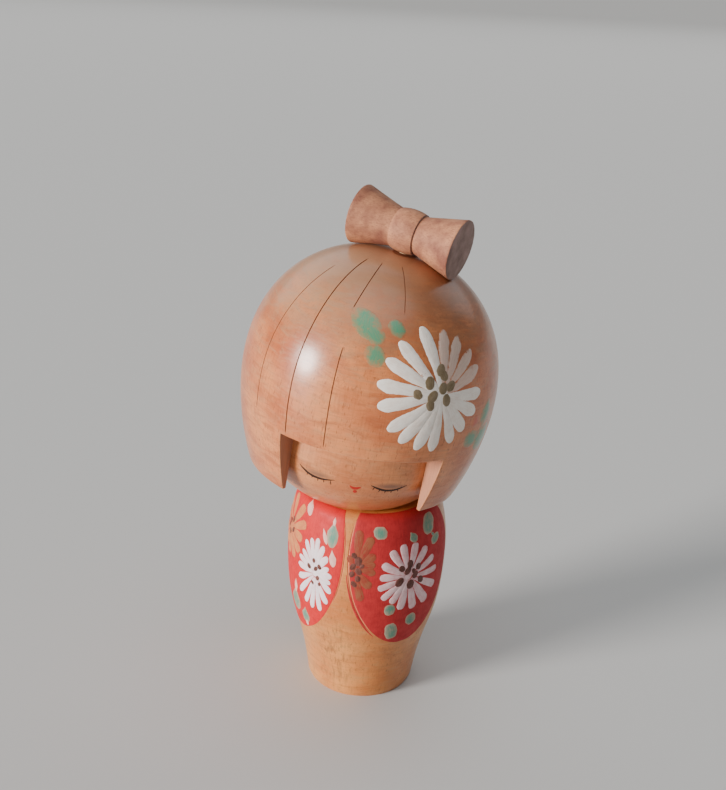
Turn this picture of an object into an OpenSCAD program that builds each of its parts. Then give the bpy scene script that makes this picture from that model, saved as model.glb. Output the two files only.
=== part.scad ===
// Turned wooden kokeshi doll with bobbed hair, a leaning head and a spool-shaped hair bow.
// Origin: centre of the round foot.  +Z is up, -Y is where the face looks, +X is the doll's left.

/* [Body] */
// Height from the foot to the flat top that carries the head
body_h = 61.5; // [58:0.5:63]
// Radius of the foot
foot_r = 15.6; // [14:0.1:17]
// Largest radius, at the chest
chest_r = 22.9; // [21:0.1:24]
// Height of the largest radius
chest_z = 44.5; // [42:0.5:47]
// Radius where the side turns into the rounded shoulder
shoulder_r = 20.6; // [19:0.1:21]
// Height where the side turns into the rounded shoulder
shoulder_z = 59.3; // [58.5:0.1:59.5]
// Chamfer round the foot
foot_chamfer = 0.4; // [0.2:0.1:0.8]

/* [Head placement] */
// Sideways place of the head's widest circle
head_x = -2; // [-3:0.1:0]
// Height of the head's widest circle
head_z = 93.9; // [92:0.1:96]
// Lean of the head towards +X, in degrees
head_lean = 7; // [4:0.5:9]

/* [Hair] */
// Radius of the head's widest circle
hair_r = 35; // [33.5:0.5:36]
// Height of the crown above the widest circle
crown_h = 36.8; // [35:0.1:38]
// Power of the crown's superellipse: 2 is round and more is squarer
crown_power = 2.2; // [2:0.05:2.4]
// Depth at which the lower curve would close below the widest circle
jaw_h = 56; // [52:1:60]
// Power of the lower curve's superellipse
jaw_power = 1.77; // [1.7:0.01:1.9]
// Depth of the hair's lower rim below the widest circle
rim_drop = 26; // [24:0.5:27]
// Depth of the fringe's edge below the widest circle
fringe_drop = 8.6; // [7:0.1:10]
// Height to which the hair is bored above the widest circle
bore_rise = 6; // [4:0.5:12]
// Angle from straight ahead to the lock on the -X side, in degrees
lock_angle_right = 37; // [34:1:40]
// Angle from straight ahead to the lock on the +X side, in degrees
lock_angle_left = 39; // [34:1:40]

/* [Face] */
// Radius of the turned face plug, which fills the hair's bore
face_r = 28.4; // [27:0.1:29]
// Glue gap between the top of the plug and the end of the bore
glue_gap = 0.5; // [0.2:0.1:1]
// Depth below the widest circle where the chin starts to round
chin_start = 15.6; // [14:0.2:18]
// How far the chin's rounding reaches inwards
chin_in = 17; // [14:0.5:18]
// How far the chin's rounding reaches down
chin_down = 18; // [16.5:0.5:19]
// Power of the chin's superellipse
chin_power = 1.7; // [1.5:0.05:2.2]

/* [Neck] */
// Radius of the neck dowel
peg_r = 5; // [4:0.5:6]
// Length of the dowel glued into the body
peg_in_body = 22; // [15:1:30]
// Length of the dowel on which the head turns
peg_in_head = 19; // [14:1:24]
// Radial clearance of the head on the dowel
turning_gap = 0.05; // [0.02:0.01:0.1]

/* [Bow] */
// Half the bow's length
bow_half = 15; // [13:0.5:16]
// Radius of the bow's flat ends
bow_end_r = 8; // [7:0.1:8]
// Radius next to the knot
bow_waist_r = 5.1; // [4.5:0.1:5.3]
// Radius at the middle of the knot
knot_r = 5.9; // [5.6:0.1:6.2]
// Radius at the knot's edges
knot_edge_r = 5.5; // [5.3:0.1:5.6]
// Half the knot's length
knot_half = 3.2; // [2.5:0.1:4]
// Radius at the bottom of the cut beside the knot
knot_cut_r = 4.8; // [4.4:0.1:5]
// Radius of the dowel that holds the bow
bow_peg_r = 1.5; // [1:0.1:2]

/* [Hidden] */
$fn = 128;
steps = 20;             // points along each curved stretch of an outline
body_pull = [3, 23.4];  // from the foot, aims the taper of the lower body
chest_pull = 23.5;      // below the chest, aims the curve into the widest circle
shoulder_lean = atan(2 * (chest_r - shoulder_r) / (shoulder_z - chest_z));
shoulder_round = (body_h - shoulder_z) / (1 - sin(shoulder_lean));
shoulder_centre = [shoulder_r - shoulder_round * cos(shoulder_lean), body_h - shoulder_round];
peg_chamfer = 0.5;
core_chamfer = 1;
core_top = bore_rise - glue_gap;
hole_gap = 0.5;         // space beyond the end of a dowel
bow_at = [3.3, -0.7, 42.4];  // middle of the knot, from the centre of the widest circle
bow_turn = 26;          // the bow's +X end comes forward by this angle
bow_dip = 4;            // and down by this one
bow_seat = 5.8;         // from the bow's axis to the flat where it sits on the crown
bow_seat_r = 4.2;
knot_cut = 0.5;         // width of the cut beside the knot
bow_end_chamfer = 0.3;
bow_peg_up = 3;         // the bow's dowel reaches this far above the bow's axis
bow_peg_down = 9;       // and this far below the seat

// A point of a cubic curve from p to s, aimed by q and r
function cubic(p, q, r, s, t) =
    pow(1 - t, 3) * p + 3 * pow(1 - t, 2) * t * q + 3 * (1 - t) * t * t * r + pow(t, 3) * s;

// A point of a quarter superellipse: across at angle 0, up at 90
function quarter(across, up, power, a) = [across * pow(cos(a), 2 / power), up * pow(sin(a), 2 / power)];

function hair_radius(drop) = hair_r * pow(1 - pow(drop / jaw_h, jaw_power), 1 / jaw_power);

function body_outline() = concat(
    [[0, 0], [foot_r - foot_chamfer, 0]],
    [for (i = [1 : steps])
        cubic([foot_r, 0], [foot_r, 0] + body_pull, [chest_r, chest_z - chest_pull], [chest_r, chest_z], i / steps)],
    [for (i = [1 : steps])
        let (t = i / steps)
        [chest_r - (chest_r - shoulder_r) * t * t, chest_z + (shoulder_z - chest_z) * t]],
    [for (i = [1 : steps])
        let (a = shoulder_lean + (90 - shoulder_lean) * i / steps)
        shoulder_centre + shoulder_round * [cos(a), sin(a)]],
    [[0, body_h]]
);

function hair_outline() = concat(
    [[0, -rim_drop]],
    [for (i = [0 : steps - 1]) let (drop = rim_drop * (1 - i / steps)) [hair_radius(drop), -drop]],
    [for (i = [0 : 2 * steps]) quarter(hair_r, crown_h, crown_power, 90 * i / (2 * steps))]
);

function core_outline() = concat(
    [[0, core_top], [0, -chin_start - chin_down]],
    [for (i = [steps : -1 : 0])
        let (p = quarter(chin_in, chin_down, chin_power, 90 * i / steps))
        [face_r - chin_in + p[0], -chin_start - p[1]]],
    [[face_r, core_top - core_chamfer], [face_r - core_chamfer, core_top]]
);

// Half of the bow's outline, from the middle of the knot to one end: [radius, distance along the axis]
function bow_half_outline() = [
    [knot_r, 0],
    [knot_r - 0.3 * (knot_r - knot_edge_r), knot_half / 2],
    [knot_edge_r, knot_half],
    [knot_cut_r, knot_half + knot_cut / 2],
    [bow_waist_r, knot_half + knot_cut],
    [bow_end_r, bow_half - bow_end_chamfer],
    [bow_end_r - bow_end_chamfer, bow_half]
];

function bow_outline() =
    let (half = bow_half_outline(), last = len(half) - 1)
    concat(
        [[0, -bow_half]],
        [for (i = [last : -1 : 1]) [half[i][0], -half[i][1]]],
        half,
        [[0, bow_half]]
    );

// Children are placed from the centre of the head's widest circle, along the leaning head
module in_head() {
    translate([head_x, 0, head_z])
        rotate([0, head_lean, 0])
            children();
}

// Children are placed from the middle of the knot, with X along the bow
module in_bow() {
    in_head()
        translate(bow_at)
            rotate([0, 0, -bow_turn])
                rotate([0, bow_dip, 0])
                    children();
}

module dowel(r, length, chamfer) {
    rotate_extrude()
        polygon([
            [0, 0], [r - chamfer, 0], [r, chamfer],
            [r, length - chamfer], [r - chamfer, length], [0, length]
        ]);
}

// Everything in front of the face between the two locks, below the fringe
module face_window() {
    reach = 2 * hair_r;
    translate([0, 0, -rim_drop - reach])
        linear_extrude(rim_drop + reach - fringe_drop)
            polygon([
                [0, 0],
                reach * [-sin(lock_angle_right), -cos(lock_angle_right)],
                reach * [0, -2],
                reach * [sin(lock_angle_left), -cos(lock_angle_left)]
            ]);
}

module body() {
    color("burlywood")
        difference() {
            rotate_extrude()
                polygon(body_outline());
            translate([0, 0, body_h - peg_in_body - hole_gap])
                cylinder(r = peg_r, h = peg_in_body + hole_gap + 1);
        }
}

module neck_peg() {
    color("wheat")
        translate([0, 0, body_h - peg_in_body])
            dowel(peg_r, peg_in_body + peg_in_head, peg_chamfer);
}

module face_core() {
    color("tan")
        difference() {
            in_head()
                rotate_extrude()
                    polygon(core_outline());
            translate([-hair_r, -hair_r, body_h - 2 * hair_r])
                cube(2 * hair_r);
            translate([0, 0, body_h - 1])
                cylinder(r = peg_r + turning_gap, h = 1 + peg_in_head + hole_gap);
        }
}

module hair_cap() {
    color("peru")
        difference() {
            in_head()
                rotate_extrude()
                    polygon(hair_outline());
            in_head()
                translate([0, 0, -rim_drop - 1])
                    cylinder(r = face_r, h = rim_drop + 1 + bore_rise);
            in_head()
                face_window();
            in_bow()
                translate([0, 0, -bow_seat])
                    cylinder(r = bow_seat_r, h = bow_seat);
            in_bow()
                translate([0, 0, -bow_seat - bow_peg_down - hole_gap])
                    cylinder(r = bow_peg_r, h = bow_peg_down + hole_gap + 1);
        }
}

module bow() {
    color("rosybrown")
        in_bow()
            difference() {
                rotate([0, 90, 0])
                    rotate_extrude()
                        polygon(bow_outline());
                translate([-knot_half, -knot_r, -bow_seat - knot_r])
                    cube([2 * knot_half, 2 * knot_r, knot_r]);
                translate([0, 0, -bow_seat - 1])
                    cylinder(r = bow_peg_r, h = bow_seat + 1 + bow_peg_up + hole_gap);
            }
}

module bow_peg() {
    color("wheat")
        in_bow()
            translate([0, 0, -bow_seat - bow_peg_down])
                dowel(bow_peg_r, bow_peg_down + bow_seat + bow_peg_up, 0.2);
}

body();
neck_peg();
face_core();
hair_cap();
bow();
bow_peg();
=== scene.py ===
"""Painted kokeshi doll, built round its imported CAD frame.

Sizes are in millimetres unless a name says otherwise. +Z is up, the face looks along -Y and +X is the
doll's left. A place on a turned part is an azimuth, in degrees from straight ahead towards the doll's left,
and a run, the distance along the part's outline.
"""
from contextlib import contextmanager
from math import atan, cos, degrees, hypot, pi, radians, sin

import bmesh
import bpy
import numpy as np
from mathutils import Matrix, Vector


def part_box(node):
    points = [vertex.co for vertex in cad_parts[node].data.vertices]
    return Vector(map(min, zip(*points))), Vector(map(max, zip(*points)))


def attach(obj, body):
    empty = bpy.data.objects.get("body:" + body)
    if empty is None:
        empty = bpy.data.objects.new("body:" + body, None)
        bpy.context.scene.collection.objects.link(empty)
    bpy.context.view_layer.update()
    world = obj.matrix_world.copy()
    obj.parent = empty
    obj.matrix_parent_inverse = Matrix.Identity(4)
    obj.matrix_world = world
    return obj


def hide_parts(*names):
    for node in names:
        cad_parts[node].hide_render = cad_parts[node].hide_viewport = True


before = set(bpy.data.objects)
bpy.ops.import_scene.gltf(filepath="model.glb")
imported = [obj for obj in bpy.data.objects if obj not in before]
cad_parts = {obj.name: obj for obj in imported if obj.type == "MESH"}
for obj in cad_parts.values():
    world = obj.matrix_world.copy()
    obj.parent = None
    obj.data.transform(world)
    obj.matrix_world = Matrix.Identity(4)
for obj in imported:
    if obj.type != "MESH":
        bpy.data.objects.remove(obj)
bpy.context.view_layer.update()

MM = 0.001
SHARP = radians(32)        # edges bent more than this are shaded sharp
EASED = 1.4 * SHARP        # and those bent more than this are rounded
UPRIGHT = Matrix.Identity(4)

# The body, as turned
BODY_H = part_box("body")[1][2] / MM
CHEST_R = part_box("body")[1][0] / MM
FOOT_R = 15.6
FOOT_CHAMFER = 0.4
CHEST_Z = 44.5
FOOT_PULL = (18.6, 23.4)
CHEST_PULL = (CHEST_R, 21.0)
SHOULDER_R = 20.6
SHOULDER_Z = 59.3
DEGREES_PER_MM = degrees(1 / CHEST_R)

# The head's frame: the middle of its widest circle, and its lean
HEAD_AT = Vector((-2.0, 0.0, 93.9))
HEAD_LEAN = radians(7)
HEAD = Matrix.Translation(HEAD_AT) @ Matrix.Rotation(HEAD_LEAN, 4, "Y")

# The hair shell
HAIR_R = 35.0
CROWN_H = 36.8
CROWN_POWER = 2.2
JAW_H = 56.0
JAW_POWER = 1.77
RIM_DROP = 26.0
FRINGE_DROP = 8.6
BORE_R = 28.4
BORE_RISE = 6.0
LOCK_RIGHT = -37.0         # azimuths of the two sawn edges of the face window
LOCK_LEFT = 39.0

# The face plug
CORE_TOP = 5.5
CHIN_START = 15.6
CHIN_IN = 17.0
CHIN_DOWN = 18.0
CHIN_POWER = 1.7

# The bow
BOW = HEAD @ Matrix.Translation((3.3, -0.7, 42.4)) @ Matrix.Rotation(radians(-26), 4, "Z")
BOW = BOW @ Matrix.Rotation(radians(4), 4, "Y")
BOW_HALF = 15.0
BOW_END_R = 8.0
BOW_WAIST_R = 5.1
KNOT_R = 5.9
KNOT_EDGE_R = 5.5
KNOT_HALF = 3.2
BOW_SEAT = 5.8             # from the bow's axis to the flat where it sits on the crown
BOW_SEAT_R = 4.2

# The holes for the dowels
NECK_R = 5.0
TURNING_GAP = 0.05         # the head's hole is this much wider, so that the head turns
NECK_HOLE_DOWN = 22.5      # depth in the body
NECK_HOLE_UP = 19.5        # and in the face plug
BOW_PEG_R = 1.5
BOW_HOLE_DOWN = 9.5        # depth in the crown, below the seat
BOW_HOLE_UP = 3.5          # and above the bow's axis

# Paint
TUCK = 0.03                # a painted edge ends this far below the wood
SOAK = 0.08                # and its underside lies this far below it
RED_LIFT = 0.05            # height of the red coat above the wood


# ---- outlines and turned surfaces

def smooth(t):
    """0 to 1 with level ends."""
    t = np.clip(t, 0, 1)
    return t * t * (3 - 2 * t)


def quarter(across, up, power, steps):
    """A quarter superellipse from (across, 0) to (0, up)."""
    angle = np.linspace(0, pi / 2, steps)
    sides = across * np.cos(angle).clip(0) ** (2 / power), up * np.sin(angle) ** (2 / power)
    return np.stack(sides, axis=1)


def cubic(points, steps):
    """A cubic curve through the first and last of four points."""
    t = np.linspace(0, 1, steps)[:, None]
    p, q, r, s = np.array(points)
    return (1 - t) ** 3 * p + 3 * (1 - t) ** 2 * t * q + 3 * (1 - t) * t * t * r + t ** 3 * s


def body_outline():
    """(radius, height) from the foot's edge to the flat top."""
    lower = cubic([(FOOT_R, 0), FOOT_PULL, CHEST_PULL, (CHEST_R, CHEST_Z)], 120)
    lower = lower[lower[:, 1] > FOOT_CHAMFER]
    t = np.linspace(0, 1, 40)[1:]
    upper = np.stack([CHEST_R - (CHEST_R - SHOULDER_R) * t * t, CHEST_Z + (SHOULDER_Z - CHEST_Z) * t], axis=1)
    lean = atan(2 * (CHEST_R - SHOULDER_R) / (SHOULDER_Z - CHEST_Z))
    bend = (BODY_H - SHOULDER_Z) / (1 - sin(lean))
    centre = np.array([SHOULDER_R - bend * cos(lean), BODY_H - bend])
    angle = np.linspace(lean, pi / 2, 24)[1:]
    shoulder = centre + bend * np.stack([np.cos(angle), np.sin(angle)], axis=1)
    return np.vstack([[(FOOT_R - FOOT_CHAMFER, 0)], lower, upper, shoulder])


def hair_radius(drop):
    """The hair's radius at a depth below its widest circle."""
    return HAIR_R * (1 - (drop / JAW_H) ** JAW_POWER) ** (1 / JAW_POWER)


def hair_outline():
    """(radius, height) from the lower rim to the crown."""
    drop = np.linspace(RIM_DROP, 0, 60)[:-1]
    lower = np.stack([hair_radius(drop), -drop], axis=1)
    return np.vstack([lower, quarter(HAIR_R, CROWN_H, CROWN_POWER, 160)])


def core_outline():
    """(radius, height) from under the chin to the plug's upper edge."""
    chin = quarter(CHIN_IN, CHIN_DOWN, CHIN_POWER, 60)[::-1]
    chin = np.stack([BORE_R - CHIN_IN + chin[:, 0], -CHIN_START - chin[:, 1]], axis=1)
    return np.vstack([chin, [(BORE_R, CORE_TOP - 1)]])


class Turned:
    """A surface turned about an axis: its outline of (radius, height) rows, its body and its place."""

    def __init__(self, outline, body, place=UPRIGHT):
        """Runs are measured from height 0."""
        self.body = body
        self.radius, self.height = np.array(outline).T
        steps = np.hypot(np.diff(self.radius), np.diff(self.height))
        self.run = np.hstack(([0], np.cumsum(steps)))
        self.run -= np.interp(0, self.height, self.run)
        slope = np.stack([np.gradient(self.radius, self.run), np.gradient(self.height, self.run)])
        self.slope = slope / np.linalg.norm(slope, axis=0)
        self.turn = np.array(place.to_3x3())
        self.at = np.array(place.translation)

    def run_at(self, height):
        return np.interp(height, self.height, self.run)

    def radius_at(self, run):
        return np.interp(run, self.run, self.radius)

    def normals(self, azimuth, run):
        azimuth, run = np.broadcast_arrays(np.radians(azimuth), run)
        out = np.interp(run, self.run, self.slope[1])
        up = -np.interp(run, self.run, self.slope[0])
        local = np.stack([out * np.sin(azimuth), -out * np.cos(azimuth), up], axis=-1)
        return local @ self.turn.T

    def spots(self, azimuth, run, lift=0.0):
        """Points of the surface, raised by lift."""
        azimuth, run = np.broadcast_arrays(azimuth, run)
        around = np.radians(azimuth)
        radius = self.radius_at(run)
        height = np.interp(run, self.run, self.height)
        local = np.stack([radius * np.sin(around), -radius * np.cos(around), height], axis=-1)
        return local @ self.turn.T + self.at + self.normals(azimuth, run) * np.expand_dims(lift, -1)


BODY_SIDE = Turned(body_outline(), "torso")
HAIR_SIDE = Turned(hair_outline(), "head", HEAD)
FACE_SIDE = Turned(core_outline(), "head", HEAD)


# ---- meshes

def add(name, data):
    """A new object in the scene."""
    thing = bpy.data.objects.new(name, data)
    bpy.context.scene.collection.objects.link(thing)
    return thing


def finish_mesh(name, mesh, materials, body):
    """Shades a mesh, makes it a piece and lets it ride on a body."""
    piece = add(name, mesh)
    for material in materials:
        mesh.materials.append(material)
    mesh.shade_smooth()
    mesh.set_sharp_from_angle(angle=SHARP)
    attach(piece, body)
    return piece


def mesh_from(name, points, faces, maps=()):
    """A mesh from points in mm. maps holds (name, one pair for each point)."""
    mesh = bpy.data.meshes.new(name)
    mesh.from_pydata((np.array(points) * MM).tolist(), [], faces)
    corners = np.zeros(len(mesh.loops), dtype=int)
    mesh.loops.foreach_get("vertex_index", corners)
    for map_name, pairs in maps:
        layer = mesh.uv_layers.new(name=map_name)
        layer.data.foreach_set("uv", np.array(pairs)[corners].ravel())
    return mesh


def grid_faces(rows, cols, first=0, closed=False, flip=False):
    """Quads over a grid of points numbered row by row, optionally closed round its columns."""
    faces = []
    for row in range(rows - 1):
        for col in range(cols if closed else cols - 1):
            beside = (col + 1) % cols
            quad = (row * cols + col, row * cols + beside, (row + 1) * cols + beside, (row + 1) * cols + col)
            quad = tuple(first + corner for corner in quad)
            faces.append(quad[::-1] if flip else quad)
    return faces


@contextmanager
def editing(mesh):
    """Lends a mesh as a bmesh, and writes it back."""
    work = bmesh.new()
    work.from_mesh(mesh)
    yield work
    work.to_mesh(mesh)
    work.free()


def merged(mesh):
    """Joins points that coincide, such as those of a ring on the axis, and drops faces without area."""
    with editing(mesh) as work:
        bmesh.ops.remove_doubles(work, verts=work.verts, dist=1e-6)
        bmesh.ops.recalc_face_normals(work, faces=work.faces)
    return mesh


def rings(outline, around, place):
    """Points of an outline of (radius, height) rows, turned to the angles around."""
    radius, height = np.array(outline).T[:, :, None]
    local = np.stack(np.broadcast_arrays(radius * np.sin(around), -radius * np.cos(around), height), axis=-1)
    return local @ np.array(place.to_3x3()).T + np.array(place.translation)


def turned_mesh(name, outline, place, columns):
    """A closed solid of revolution about its own Z, whose outline starts and ends on the axis."""
    around = np.linspace(0, 2 * pi, columns, endpoint=False)
    points = rings(outline, around, place).reshape(-1, 3)
    return merged(mesh_from(name, points, grid_faces(len(outline), columns, closed=True)))


def eased(mesh, size, worn):
    """Rounds the sharp edges of a mesh. The new faces take material number worn."""
    with editing(mesh) as work:
        edges = [edge for edge in work.edges if edge.is_manifold and edge.calc_face_angle() > EASED]
        bmesh.ops.bevel(
            work, geom=edges, offset=size * MM, segments=2, profile=0.5, affect="EDGES", material=worn
        )
    return mesh


def carve(piece, tool_mesh):
    """Takes a closed tool mesh, with its own material, out of a piece."""
    tool = add("tool", tool_mesh)
    change = piece.modifiers.new("carve", "BOOLEAN")
    change.operation = "DIFFERENCE"
    change.solver = "EXACT"
    change.material_mode = "TRANSFER"
    change.object = tool
    bpy.context.view_layer.update()
    result = bpy.data.meshes.new_from_object(piece.evaluated_get(bpy.context.evaluated_depsgraph_get()))
    piece.modifiers.remove(change)
    old = piece.data
    piece.data = result
    result.name = old.name
    bpy.data.meshes.remove(old)
    bpy.data.objects.remove(tool)
    result.shade_smooth()
    result.set_sharp_from_angle(angle=SHARP)


def drill(piece, place, radius, low, high, material):
    """Drills a round hole along the local Z of place."""
    outline = [(0, low), (radius, low), (radius, high), (0, high)]
    tool = turned_mesh("drill", outline, place, 48)
    tool.materials.append(material)
    carve(piece, tool)


def blade(side, azimuths, runs, width, depth, fade):
    """Points and faces of a V-shaped blade along a line on a turned surface.

    It lifts out of the wood over a fraction, fade, of its length at each end.
    """
    clear = 0.4
    count = len(runs)
    along_line = np.linspace(0, 1, count)
    sunk = smooth(np.minimum(along_line, 1 - along_line) / fade)[:, None]
    base = side.spots(azimuths, runs)
    out = side.normals(azimuths, runs)
    ahead = np.gradient(base, axis=0)
    ahead /= np.linalg.norm(ahead, axis=1, keepdims=True)
    across = np.cross(ahead, out)
    lift = (1 - sunk) * depth * 1.1
    half = width / 2 * (depth + clear) / depth
    top = base + out * (lift + clear)
    rings = np.stack([top - across * half, top + across * half, base + out * (lift - depth)], axis=1)
    faces = grid_faces(count, 3, closed=True)
    last = 3 * (count - 1)
    faces += [(2, 1, 0), (last, last + 1, last + 2)]
    return rings.reshape(-1, 3), faces


def cut_lines(piece, blades, material):
    """Cuts V-shaped lines into a piece."""
    points = []
    faces = []
    for blade_points, blade_faces in blades:
        first = sum(len(group) for group in points)
        points.append(blade_points)
        faces += [tuple(first + corner for corner in face) for face in blade_faces]
    tool = merged(mesh_from("blades", np.vstack(points), faces))
    tool.materials.append(material)
    carve(piece, tool)


# ---- materials

def srgb(red, green, blue):
    """A linear colour from sRGB values of 0 to 255."""
    linear = []
    for value in (red, green, blue):
        share = value / 255
        linear.append(share / 12.92 if share <= 0.04045 else ((share + 0.055) / 1.055) ** 2.4)
    return (*linear, 1.0)


class Finish:
    """A material and short ways to add nodes to it."""

    def __init__(self, name, roughness, coat=0.0, coat_roughness=0.2):
        self.data = bpy.data.materials.new(name)
        self.data.use_nodes = True
        self.tree = self.data.node_tree
        self.shader = self.tree.nodes["Principled BSDF"]
        self.shader.inputs["Roughness"].default_value = roughness
        self.shader.inputs["Specular IOR Level"].default_value = 0.28
        self.shader.inputs["Coat Weight"].default_value = coat
        self.shader.inputs["Coat Roughness"].default_value = coat_roughness

    def put(self, socket, value):
        if isinstance(value, bpy.types.NodeSocket):
            self.tree.links.new(value, socket)
        else:
            socket.default_value = value

    def node(self, kind, inputs, output=0, **settings):
        made = self.tree.nodes.new("ShaderNode" + kind)
        for key, value in settings.items():
            setattr(made, key, value)
        for key, value in inputs.items():
            self.put(made.inputs[key], value)
        return made.outputs[output]

    def place(self, lean=False):
        """Coordinates in mm along the part's own axis."""
        turn = Matrix.Rotation(-HEAD_LEAN, 3, "Y") if lean else Matrix.Identity(3)
        shift = turn @ -HEAD_AT if lean else Vector((0, 0, 0))
        around = (0, -HEAD_LEAN, 0) if lean else (0, 0, 0)
        where = self.node("TexCoord", {}, "Object")
        inputs = {"Vector": where, "Location": shift, "Rotation": around, "Scale": (1 / MM,) * 3}
        return self.node("Mapping", inputs)

    def noise(self, where, scale, detail=3.0, roughness=0.55, distortion=0.0):
        """scale is one number, or three along x, y and z."""
        if isinstance(scale, tuple):
            where = self.node("VectorMath", {0: where, 1: scale}, operation="MULTIPLY")
            scale = 1.0
        inputs = {"Vector": where, "Scale": scale, "Detail": detail, "Roughness": roughness}
        return self.node("TexNoise", {**inputs, "Distortion": distortion})

    def ramp(self, value, low, high, to_low=0.0, to_high=1.0):
        """value from low to high becomes to_low to to_high, and no further."""
        inputs = {"Value": value, "From Min": low, "From Max": high, "To Min": to_low, "To Max": to_high}
        return self.node("MapRange", inputs)

    def times(self, a, b):
        return self.node("Math", {0: a, 1: b}, operation="MULTIPLY")

    def plus(self, a, b):
        return self.node("Math", {0: a, 1: b}, operation="ADD")

    def mix(self, share, a, b):
        """Colour a, turning to b as share goes from 0 to 1."""
        return self.node("Mix", {0: share, 6: a, 7: b}, 2, data_type="RGBA")

    def tint(self, colour, value, low, high, other, most=1.0):
        """A colour that turns to the other, at most by that share, as value goes from low to high."""
        return self.mix(self.ramp(value, low, high, 0, most), colour, other)

    def hairs(self):
        """Fine lines along the strokes, as a brush leaves them."""
        brush = self.node("UVMap", {}, uv_map="brush")
        return self.noise(brush, (3.2, 0.32, 1), 4.0, 0.65)

    def from_middle(self):
        """0 in the middle of a stroke and 1 at its edges."""
        edge = self.node("UVMap", {}, uv_map="edge")
        return self.node("VectorMath", {0: edge}, "Value", operation="LENGTH")

    def glow(self, where, spot, reach, turn=0.0):
        """1 at a spot, falling to 0 at its reaches along x, y and z. turn is about z, in degrees."""
        inputs = {"Vector": where, "Location": spot, "Rotation": (0, 0, radians(turn)), "Scale": reach}
        local = self.node("Mapping", inputs, vector_type="TEXTURE")
        return self.node("TexGradient", {"Vector": local}, "Fac", gradient_type="SPHERICAL")

    def bump(self, height, distance, strength):
        """Raises the surface by height times distance in mm."""
        inputs = {"Height": height, "Distance": distance * MM, "Strength": strength}
        self.put(self.shader.inputs["Normal"], self.node("Bump", inputs))

    def colour(self, value):
        self.put(self.shader.inputs["Base Color"], value)

    def roughness(self, value):
        self.put(self.shader.inputs["Roughness"], value)


def darker(colour, share):
    return (*(share * part for part in colour[:3]), 1)


def wood_colour(finish, where, tones, faded=0.0):
    """Colour and relief of turned wood: mottled tone, wavy figure, upright grain, flecks and lathe marks.

    tones are light, deep and grey. faded is how far the crown takes a painted sheen, grey-tan towards the lit
    -X side, and painted shade, brown towards the +X side.
    """
    light, deep, grey = (srgb(*tone) for tone in tones)
    dark = darker(deep, 0.5)
    cloud = finish.noise(where, 0.06, 3.0)
    colour = finish.tint(light, cloud, 0.36, 0.66, deep)
    figure = finish.noise(where, (0.15, 0.15, 0.55), 6.0, 0.66, 0.9)
    colour = finish.tint(colour, figure, 0.48, 0.72, grey, 0.8)
    blush = finish.noise(where, (0.112, 0.112, 0.42), 6.0, 0.7, 0.8)
    colour = finish.tint(colour, blush, 0.48, 0.66, darker(deep, 0.8), 0.6)
    grain = finish.noise(where, (1.5, 1.5, 0.07), 4.0, 0.6, 0.4)
    colour = finish.tint(colour, grain, 0.5, 0.8, dark, 0.34)
    fleck = finish.noise(where, (2.2, 2.2, 0.6), 2.0)
    colour = finish.tint(colour, fleck, 0.6, 0.72, dark, 0.6)
    rings = finish.noise(where, (0.044, 0.044, 2.2), 5.0, 0.65)
    colour = finish.tint(colour, rings, 0.48, 0.72, dark, 0.18)
    if faded:
        # Painted light on the crown: a grey-tan sheen towards the lit -X side, turning to brown shade towards
        # the +X side.
        height = finish.node("SeparateXYZ", {"Vector": where}, "Z")
        sideways = finish.node("SeparateXYZ", {"Vector": where}, "X")
        above = finish.plus(height, finish.times(figure, 30.0))
        crown = finish.tint(srgb(170, 134, 104), sideways, -12, 10, srgb(148, 96, 64))
        colour = finish.tint(colour, above, 26, 46, crown, faded)
    relief = finish.plus(finish.times(rings, 1.4), finish.times(grain, 0.8))
    return colour, relief


def wood(name, tones, faded=0.0, lean=False, gloss=0.34, coat=0.7, marks=None):
    """Varnished turned wood. marks is a function that adds marks of its own to the colour."""
    finish = Finish(name, gloss, coat, 0.22)
    where = finish.place(lean)
    colour, relief = wood_colour(finish, where, tones, faded)
    finish.colour(marks(finish, where, colour) if marks else colour)
    smudge = finish.noise(where, 0.14, 4.0)
    finish.roughness(finish.ramp(smudge, 0.3, 0.75, gloss - 0.04, gloss + 0.14))
    finish.bump(relief, 0.03, 0.8)
    return finish.data


def shade_lids(finish, where, colour):
    """Two soft grey smudges on the face, just above the eyes."""
    for azimuth in (-20, 20):
        spot = HEAD.inverted() @ Vector(FACE_SIDE.spots(azimuth, FACE_SIDE.run_at(-18.7)))
        glow = finish.glow(where, spot, (5.2, 3, 1.25), azimuth)
        colour = finish.tint(colour, glow, 0.0, 0.75, srgb(112, 78, 64), 0.75)
    return colour


def streak_grain(finish, where, colour):
    """Faint upright streaks in the grain, low on the body's front."""
    streaks = finish.noise(where, (1, 1, 0.05), 3.0, 0.6, 0.5)
    zone = finish.glow(where, (-7, -16, 17), (7, 9, 19))
    share = finish.times(finish.ramp(streaks, 0.5, 0.66), finish.ramp(zone, 0.0, 0.6, 0, 0.5))
    return finish.mix(share, colour, srgb(96, 58, 36))


def wash(name, colour, cover, soft):
    """Thin paint under the hair's varnish, fading into the wood at its edges and where it has worn."""
    finish = Finish(name, 0.34, 0.7, 0.22)
    where = finish.place(True)
    under, relief = wood_colour(finish, where, HAIR_TONES, CROWN_SHEEN_SHADE)
    worn = finish.noise(where, 0.5, 5.0, 0.65)
    rim = finish.plus(finish.from_middle(), finish.ramp(worn, 0.3, 0.7, -0.35, 0.35))
    share = finish.ramp(rim, 1.1 - soft, 1.1, cover, 0)
    share = finish.times(share, finish.ramp(finish.hairs(), 0.3, 0.7, 1.1, 0.75))
    finish.colour(finish.mix(share, under, srgb(*colour)))
    finish.bump(relief, 0.03, 0.8)
    return finish.data


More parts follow.
